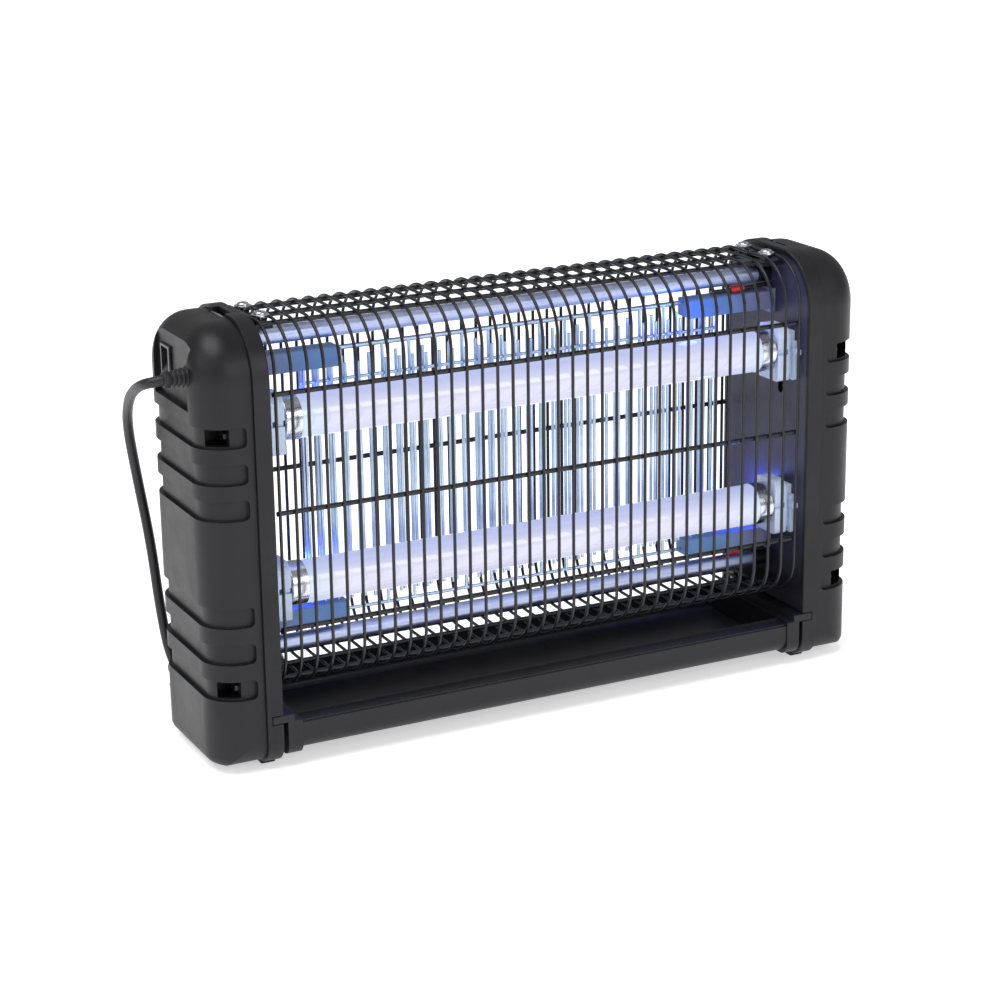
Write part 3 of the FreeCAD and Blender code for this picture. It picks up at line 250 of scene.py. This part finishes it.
def lamp_material():
    """Glowing tube: pale lavender phosphor, with painted shade that makes it a little dimmer along the top,
    and bluer at the ends.
    """
    m = Material("lamp_glow")
    cloud = m.noise(35.0, 3.0, 0.6)
    # painted shade: the glow is dimmer where the tube's surface faces up
    up = m.spread(m.facing("Z"), 0.25, 0.98, 0.0, 1.0)
    ends = m.spread(m.axis("X", True), 0.128, 0.160, 0.0, 1.0)
    body = m.blend(m.spread(cloud, 0.3, 0.7, 0.0, 1.0), (0.74, 0.75, 0.96), (0.82, 0.82, 0.98))
    body = m.blend(m.calc("MULTIPLY", ends, 0.8), body, (0.62, 0.83, 1.0))
    glow = m.blend(m.calc("MULTIPLY", up, 0.75), body, (0.42, 0.50, 0.86))
    m.set(Base_Color=(0.12, 0.12, 0.16), Roughness=m.spread(cloud, 0.3, 0.7, 0.08, 0.16))
    m.set(Emission_Color=glow)
    m.shader.inputs["Emission Strength"].default_value = 0.82
    m.shader.inputs["Coat Weight"].default_value = 0.4
    m.bump(m.noise(12.0, 2.0), 0.00002)
    return m


def arm_material():
    """Pale nylon, with the lamps' bluish light painted into its colour, and painted greyer shade towards
    the end plates.
    """
    # the bluish base colours here are painted lamp light on pale nylon
    m = moulded("arm_nylon_painted_lamp_light", (0.10, 0.16, 0.36), (0.13, 0.20, 0.43), (0.34, 0.5), 1100.0, 0.00003)
    slow = m.noise(40.0, 3.0, 0.6)
    # painted lamp light, and painted greyer shade towards the ends of the arm
    painted_lamp_blue = m.blend(m.spread(slow, 0.3, 0.7, 0.0, 1.0), (0.10, 0.22, 0.46), (0.14, 0.27, 0.54))
    painted_dim_grey = m.blend(m.spread(slow, 0.3, 0.7, 0.0, 1.0), (0.20, 0.21, 0.33), (0.26, 0.26, 0.38))
    m.set(Base_Color=m.blend(m.spread(m.axis("X", True), 0.135, 0.175, 0.0, 1.0), painted_lamp_blue, painted_dim_grey))
    return m


def cap_metal_material():
    """Aluminium lamp caps with fine turned lines."""
    m = metal("lamp_cap_aluminium", (0.58, 0.61, 0.70), (0.80, 0.83, 0.90), (0.16, 0.3), "Y", 1800.0)
    rings = m.noise(3000.0, 2.0, 0.6, m.stretched(1.0, 0.01, 0.01))
    m.bump(rings, 0.000015, 0.0003)
    return m


def glossy(name, dark, light, rough=(0.2, 0.35)):
    return moulded(name, dark, light, rough, 900.0, 0.000015, 0.0004, 0.25)


MADE = {
    "housing_plastic": black_plastic("housing_black"),
    "plate_plastic": frame_material(),
    "guard_wire": metal(
        "guard_black_wire",
        (0.005, 0.005, 0.008),
        (0.010, 0.011, 0.016),
        (0.26, 0.42),
        "Z",
        1800.0,
        0.00002,
        0.0,
        0.1,
    ),
    "grid_steel": metal("grid_zinc_steel", (0.46, 0.60, 0.80), (0.66, 0.78, 0.94), (0.26, 0.4), "Z"),
    # painted reflection: the tie tubes' bluish colour stands for the lamps' light reflected in the zinc
    "tie_metal": metal("tie_tube_zinc_painted_reflection", (0.50, 0.58, 0.86), (0.62, 0.68, 0.92), (0.34, 0.48), "X"),
    "lamp_glass": lamp_material(),
    "lamp_metal": cap_metal_material(),
    "pin_brass": metal("pin_brass", (0.62, 0.47, 0.22), (0.80, 0.64, 0.36), (0.18, 0.3), "X"),
    # painted lamp light: the white holders are given a bluish colour
    "holder_plastic": glossy("holder_white_painted_lamp_light", (0.60, 0.72, 0.95), (0.72, 0.82, 1.0), (0.25, 0.4)),
    "arm_plastic": arm_material(),
    "lead_black": glossy("lead_black", (0.010, 0.010, 0.013), (0.02, 0.02, 0.024), (0.3, 0.45)),
    "sleeve_red": glossy("sleeve_red", (0.52, 0.012, 0.02), (0.70, 0.022, 0.03), (0.3, 0.42)),
    "tray_plastic": moulded(
        "tray_black",
        (0.007, 0.007, 0.009),
        (0.012, 0.012, 0.014),
        (0.34, 0.5),
        1300.0,
        0.00004,
    ),
    "screw_metal": metal(
        "screw_chrome",
        (0.50, 0.51, 0.54),
        (0.72, 0.73, 0.76),
        (0.16, 0.3),
        "Y",
        1500.0,
        0.00001,
        0.0003,
    ),
    "dark_screw": metal(
        "screw_oxide",
        (0.030, 0.030, 0.032),
        (0.060, 0.060, 0.064),
        (0.26, 0.42),
        "Y",
        1500.0,
        0.00001,
        0.0003,
    ),
    "foot_rubber": moulded(
        "foot_rubber",
        (0.006, 0.006, 0.007),
        (0.011, 0.011, 0.012),
        (0.62, 0.8),
        1800.0,
        0.00006,
    ),
    "switch_plastic": glossy("switch_black", (0.012, 0.012, 0.014), (0.022, 0.022, 0.026), (0.22, 0.36)),
    "boot_rubber": moulded(
        "boot_rubber",
        (0.014, 0.014, 0.016),
        (0.026, 0.026, 0.029),
        (0.46, 0.62),
        1500.0,
        0.00003,
    ),
    "cord_jacket": moulded(
        "cord_jacket",
        (0.014, 0.014, 0.016),
        (0.025, 0.025, 0.028),
        (0.36, 0.5),
        1200.0,
        0.00002,
        0.0,
    ),
    "plug_plastic": moulded(
        "plug_black",
        (0.014, 0.014, 0.016),
        (0.026, 0.026, 0.029),
        (0.36, 0.5),
        1200.0,
        0.00003,
    ),
    "plug_metal": metal("plug_nickel", (0.52, 0.52, 0.50), (0.72, 0.72, 0.70), (0.2, 0.32), "Y"),
    "hanger_steel": metal("hanger_zinc", (0.46, 0.47, 0.50), (0.62, 0.63, 0.66), (0.28, 0.44), "Z"),
    "core_steel": metal("core_laminations", (0.20, 0.19, 0.18), (0.32, 0.31, 0.30), (0.4, 0.6), "Y"),
    "winding_tape": moulded("winding_tape", (0.55, 0.40, 0.06), (0.70, 0.52, 0.10), (0.3, 0.5), 700.0),
    "board_green": moulded("board_green", (0.02, 0.14, 0.05), (0.03, 0.20, 0.08), (0.3, 0.5), 500.0),
    "capacitor_blue": moulded("capacitor_blue", (0.03, 0.10, 0.42), (0.05, 0.15, 0.55), (0.2, 0.4), 500.0),
    "case_white": moulded("case_white", (0.66, 0.66, 0.64), (0.78, 0.78, 0.76), (0.4, 0.6), 700.0),
}


for thing in nodes.values():
    slot_name = thing.data.materials[0].name.split(".")[0]
    thing.data.materials.clear()
    thing.data.materials.append(MADE[slot_name].made)


def finished(piece, slot, body="housing"):
    """Give a new piece its finish and its body."""
    if piece.type == "MESH":
        piece.data.materials.append(MADE[slot].made)
        piece.data.polygons.foreach_set("use_smooth", [True] * len(piece.data.polygons))
    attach(piece, body)
    return piece


def mesh_piece(name, mesh):
    made = bpy.data.meshes.new(name)
    mesh.to_mesh(made)
    mesh.free()
    piece = bpy.data.objects.new(name, made)
    scene.collection.objects.link(piece)
    return piece


# ---------------------------------------------------------------- cord
# the route of the CAD cord, in metres
CORD_ROUTE = [
    (-0.2260, -0.0230, 0.2320),
    (-0.2345, -0.0225, 0.2314),
    (-0.2380, -0.0140, 0.2285),
    (-0.2370, 0.0030, 0.2215),
    (-0.2330, 0.0260, 0.2100),
    (-0.2275, 0.0480, 0.1900),
    (-0.2190, 0.0620, 0.1550),
    (-0.2120, 0.0640, 0.1120),
    (-0.2085, 0.0635, 0.0680),
    (-0.2040, 0.0620, 0.0340),
    (-0.1900, 0.0608, 0.0110),
    (-0.1705, 0.0592, 0.0034),
]
TAIL_ROUTE = [
    (-0.1577, 0.1195, 0.0205),
    (-0.1715, 0.1185, 0.0213),
    (-0.1828, 0.1105, 0.0214),
    (-0.1892, 0.0975, 0.0213),
    (-0.1890, 0.0835, 0.0213),
    (-0.1818, 0.0712, 0.0214),
    (-0.1700, 0.0640, 0.0216),
    (-0.1568, 0.0632, 0.0224),
    (-0.1447, 0.0690, 0.0236),
    (-0.1368, 0.0798, 0.0248),
    (-0.1350, 0.0930, 0.0250),
]
COIL_CENTRE = (-0.1585, 0.0910)
# radii of the coil's two columns of turns, and heights of its three layers
COLUMNS = (0.0332, 0.0268)
LAYERS = (0.0032, 0.0092, 0.0152)
CORD_RADIUS = 0.003


def smooth_step(value, start, width):
    share = min(1.0, max(0.0, (value - start) / width))
    return share * share * (3.0 - 2.0 * share)


def coil_points():
    """The turns between the two routes: two columns and three layers.

    Each turn passes to the next one's place over a quarter turn.
    """
    outer, inner = COLUMNS
    # in degrees: where the first change of place starts, how long one takes, and from one to the next
    first, width, step = 255.0, 90.0, 330.0
    places = [(outer, 0), (inner, 0), (inner, 1), (outer, 1), (outer, 2), (inner, 2)]
    points = []
    # in degrees: where the coil starts, how far it turns, and from one point to the next
    start, end, between = -100.0, 1905.0, 24.0
    count = int((end - 10.0) / between)
    for i in range(count + 1):
        swept = i * between + 4.0
        radius, height = places[0][0], LAYERS[places[0][1]]
        for k in range(1, len(places)):
            share = smooth_step(swept, first + step * (k - 1), width)
            radius += share * (places[k][0] - places[k - 1][0])
            height += share * (LAYERS[places[k][1]] - LAYERS[places[k - 1][1]])
        angle = math.radians(start + swept)
        wobble = 0.0002 * math.sin(1.7 * i)
        spot = (radius + wobble) / math.cos(math.radians(between) / 2) ** 0.9
        points.append((
            COIL_CENTRE[0] + spot * math.cos(angle),
            COIL_CENTRE[1] + spot * math.sin(angle),
            height,
        ))
    return points


def cord():
    data = bpy.data.curves.new("mains_cord", "CURVE")
    data.dimensions = "3D"
    data.bevel_depth = CORD_RADIUS
    data.bevel_resolution = 5
    data.resolution_u = 5
    data.use_fill_caps = True
    points = [*CORD_ROUTE, *coil_points(), *TAIL_ROUTE]
    spline = data.splines.new("NURBS")
    spline.points.add(len(points) - 1)
    for point, place in zip(spline.points, points):
        point.co = (*place, 1.0)
    spline.order_u = 3
    spline.use_endpoint_u = True
    data.materials.append(MADE["cord_jacket"].made)
    piece = bpy.data.objects.new("mains_cord", data)
    scene.collection.objects.link(piece)
    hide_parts("power_cord", "cord_coil", "cord_tail")
    return finished(piece, "cord_jacket")


mains_cord = cord()


# ---------------------------------------------------------------- turned and moulded pieces on the cord
def turned(name, profile, steps=48):
    """A closed surface of revolution about X from (along, radius) pairs that go once round its section."""
    mesh = bmesh.new()
    rings = []
    for along, radius in profile:
        ring = []
        for i in range(steps):
            angle = i * math.tau / steps
            ring.append(mesh.verts.new((along, radius * math.cos(angle), radius * math.sin(angle))))
        rings.append(ring)
    for ring, following in zip(rings, rings[1:] + rings[:1]):
        for i in range(steps):
            j = (i + 1) % steps
            mesh.faces.new((ring[i], ring[j], following[j], following[i]))
    bmesh.ops.recalc_face_normals(mesh, faces=mesh.faces)
    return mesh_piece(name, mesh)


# middle to the face of the inlet panel
PANEL_FACE = 0.2132


def strain_relief():
    """Tapered boot: flange, four soft ribs and grooves, and a lip at its tip."""
    low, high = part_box("strain_relief")
    y = (low.y + high.y) / 2
    z = (low.z + high.z) / 2
    inner = CORD_RADIUS + 0.00004
    face = PANEL_FACE
    tip = -low.x
    profile = [
        # collar behind the wall, and the neck through it
        (face - 0.013, inner),
        (face - 0.013, 0.0058),
        (face - 0.0127, 0.0061),
        (face - 0.0117, 0.0061),
        (face - 0.0114, 0.0049),
        (face + 0.0001, 0.0049),
        # flange
        (face + 0.0001, 0.0064),
        (face + 0.0003, 0.0067),
        (face + 0.0014, 0.0067),
        (face + 0.0018, 0.0064),
        (face + 0.0018, 0.0060),
    ]
    for i in range(4):
        at = face + 0.0032 + 0.0026 * i
        outside = 0.00572 - 0.00030 * i
        inside = outside - 0.00125
        profile += [
            (at - 0.0009, outside),
            (at - 0.0002, outside - 0.00006),
            (at, outside - 0.0003),
            (at + 0.00006, inside),
            (at + 0.0010, inside),
            (at + 0.0011, outside - 0.0004),
            (at + 0.0013, outside - 0.0001),
        ]
    profile += [(tip - 0.0009, 0.0044), (tip - 0.0003, 0.0042), (tip, 0.0038), (tip, inner)]
    piece = turned("cord_boot", [(-x, r) for x, r in profile])
    piece.data.transform(Matrix.Translation((0, y, z)))
    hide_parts("strain_relief")
    return finished(piece, "boot_rubber")


def rounded_outline(half_x, half_y, radius, steps=6):
    """Outline of a rounded rectangle, counterclockwise."""
    outline = []
    for quarter, (sx, sy) in enumerate(((1, 1), (-1, 1), (-1, -1), (1, -1))):
        for i in range(steps + 1):
            angle = math.radians(90 * quarter + 90 * i / steps)
            outline.append((sx * (half_x - radius) + radius * math.cos(angle),
                            sy * (half_y - radius) + radius * math.sin(angle)))
    return outline


def lofted(name, sections):
    """A closed body through sections along Y.

    A section is (y, half width, half height, corner radius, middle x, middle z).
    """
    mesh = bmesh.new()
    rings = []
    for y, half_x, half_z, radius, x, z in sections:
        outline = rounded_outline(half_x, half_z, radius)
        rings.append([mesh.verts.new((x + a, y, z + b)) for a, b in outline])
    count = len(rings[0])
    for ring, following in zip(rings, rings[1:]):
        for i in range(count):
            j = (i + 1) % count
            mesh.faces.new((ring[i], following[i], following[j], ring[j]))
    mesh.faces.new(rings[0])
    mesh.faces.new(list(reversed(rings[-1])))
    bmesh.ops.recalc_face_normals(mesh, faces=mesh.faces)
    return mesh_piece(name, mesh)


def plug():
    """Flat two-pin plug body: cord neck, waisted grip with ribs, and flat face; the pins with insulated
    sleeves are made by plug_pins.
    """
    low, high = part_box("plug_body")
    middle = (low + high) / 2
    half_x = (high.x - low.x) / 2
    half_z = (high.z - low.z) / 2
    long = high.y - low.y
    sections = []
    # neck and shoulder: share of the length, of the half width and of the half height
    shape = [
        (0.0, 0.26, 0.52),
        (0.03, 0.30, 0.60),
        (0.16, 0.36, 0.72),
        (0.28, 0.58, 0.86),
        (0.40, 0.84, 0.97),
        (0.50, 0.96, 1.0),
        (0.55, 0.97, 1.0),
    ]
    for at, wide, tall in shape:
        sections.append((low.y + at * long, half_x * wide, half_z * tall))
    for i in range(6):
        at = 0.585 + 0.045 * i
        sections.append((low.y + at * long, half_x * 0.975, half_z))
        sections.append((low.y + (at + 0.008) * long, half_x * 0.94, half_z * 0.955))
        sections.append((low.y + (at + 0.026) * long, half_x * 0.94, half_z * 0.955))
        sections.append((low.y + (at + 0.034) * long, half_x * 0.98, half_z))
    sections += [
        (low.y + 0.90 * long, half_x, half_z),
        (low.y + 0.975 * long, half_x, half_z),
        (high.y - 0.0003, half_x * 0.985, half_z * 0.97),
        (high.y, half_x * 0.95, half_z * 0.92),
    ]
    rows = []
    for y, a, b in sections:
        rows.append((y, a, b, min(a, b) * 0.55, middle.x, middle.z))
    piece = lofted("plug_moulding", rows)
    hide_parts("plug_body")
    return finished(piece, "plug_plastic")


def plug_pins():
    """Two round pins, each with a black sleeve near the plug and a domed tip."""
    low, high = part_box("plug_pins")
    radius = (high.z - low.z) / 2
    z = (high.z + low.z) / 2
    long = high.y - low.y
    pins = []
    for number, x in enumerate((low.x + radius, high.x - radius), start=1):
        metal_part = [
            (0.0, 0.0002),
            (0.0, radius),
            (long - 0.0016, radius),
            (long - 0.0008, radius * 0.86),
            (long - 0.0002, radius * 0.5),
            (long, 0.0002),
        ]
        pin = turned(f"plug_pin_{number}", metal_part, 32)
        outside = radius * 0.998 + 0.00025
        sleeve_part = [
            (-0.0004, radius * 0.9),
            (-0.0004, outside),
            (long * 0.50, outside),
            (long * 0.52, radius * 1.03),
            (long * 0.52, radius * 0.9),
        ]
        sleeve = turned(f"plug_sleeve_{number}", sleeve_part, 32)
        for piece in (pin, sleeve):
            piece.data.transform(Matrix.Translation((x, low.y, z)) @ Matrix.Rotation(math.pi / 2, 4, "Z"))
        pins += [finished(pin, "plug_metal"), finished(sleeve, "plug_plastic")]
    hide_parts("plug_pins")
    return pins


boot = strain_relief()
plug_piece = plug()
pin_pieces = plug_pins()


# ---------------------------------------------------------------- floor and light
BLUE = (0.05, 0.12, 1.0)


def floor():
    mesh = bmesh.new()
    half, steps = 30.0, 24
    places = [half * (2 * i / steps - 1) for i in range(steps + 1)]
    rows = [[mesh.verts.new((x, y, 0.0)) for x in places] for y in places]
    for j in range(steps):
        for i in range(steps):
            mesh.faces.new((rows[j][i], rows[j][i + 1], rows[j + 1][i + 1], rows[j + 1][i]))
    piece = mesh_piece("studio_floor", mesh)
    m = Material("studio_white")
    cloud = m.noise(3.0, 3.0, 0.5)
    m.set(Base_Color=m.blend(cloud, (0.93, 0.93, 0.935), (0.96, 0.96, 0.965)))
    m.set(Roughness=m.spread(cloud, 0.3, 0.7, 0.7, 0.85))
    m.set(Emission_Color=(1.0, 1.0, 1.0))
    m.shader.inputs["Emission Strength"].default_value = 0.5
    piece.data.materials.append(m.made)


def world():
    made = bpy.data.worlds.new("studio")
    made.use_nodes = True
    background = made.node_tree.nodes["Background"]
    background.inputs[0].default_value = (1.0, 1.0, 1.0, 1.0)
    background.inputs[1].default_value = 0.38
    scene.world = made


def area_light(name, place, aim, size, power, colour=(1.0, 1.0, 1.0)):
    data = bpy.data.lights.new(name, "AREA")
    data.shape = "RECTANGLE"
    data.size, data.size_y = size
    data.energy = power
    data.color = colour
    light = bpy.data.objects.new(name, data)
    light.location = place
    light.rotation_mode = "QUATERNION"
    light.rotation_quaternion = (Vector(aim) - Vector(place)).to_track_quat("-Z", "Y")
    light.visible_camera = False
    scene.collection.objects.link(light)


def sun_light(name, towards, angle, strength):
    """A wide soft sun that shines from one direction."""
    data = bpy.data.lights.new(name, "SUN")
    data.angle = math.radians(angle)
    data.energy = strength
    light = bpy.data.objects.new(name, data)
    light.rotation_mode = "QUATERNION"
    light.rotation_quaternion = Vector(towards).to_track_quat("Z", "Y")
    scene.collection.objects.link(light)


def point_light(name, place, radius, power, colour):
    data = bpy.data.lights.new(name, "POINT")
    data.shadow_soft_size = radius
    data.energy = power
    data.color = colour
    light = bpy.data.objects.new(name, data)
    light.location = place
    light.visible_camera = False
    scene.collection.objects.link(light)


floor()
world()
sun_light("overhead_sun", (-0.35, -0.10, 1.0), 45.0, 2.0)
area_light("front_softbox", (0.5, -1.9, 1.1), (0, 0, 0.12), (1.4, 0.8), 11.0)
area_light("left_softbox", (-2.0, -0.2, 1.1), (0, 0, 0.12), (0.8, 0.8), 4.5)
for row, height in enumerate((0.201, 0.1025)):
    point_light(f"lamp_blue_{row}_left", (-0.150, 0.004, height), 0.006, 0.05, BLUE)
point_light("lamp_blue_1_right", (0.168, 0.006, 0.104), 0.004, 0.06, BLUE)
point_light("tie_blue", (0.110, -0.020, 0.222), 0.006, 0.03, BLUE)

scene.view_settings.view_transform = "Standard"
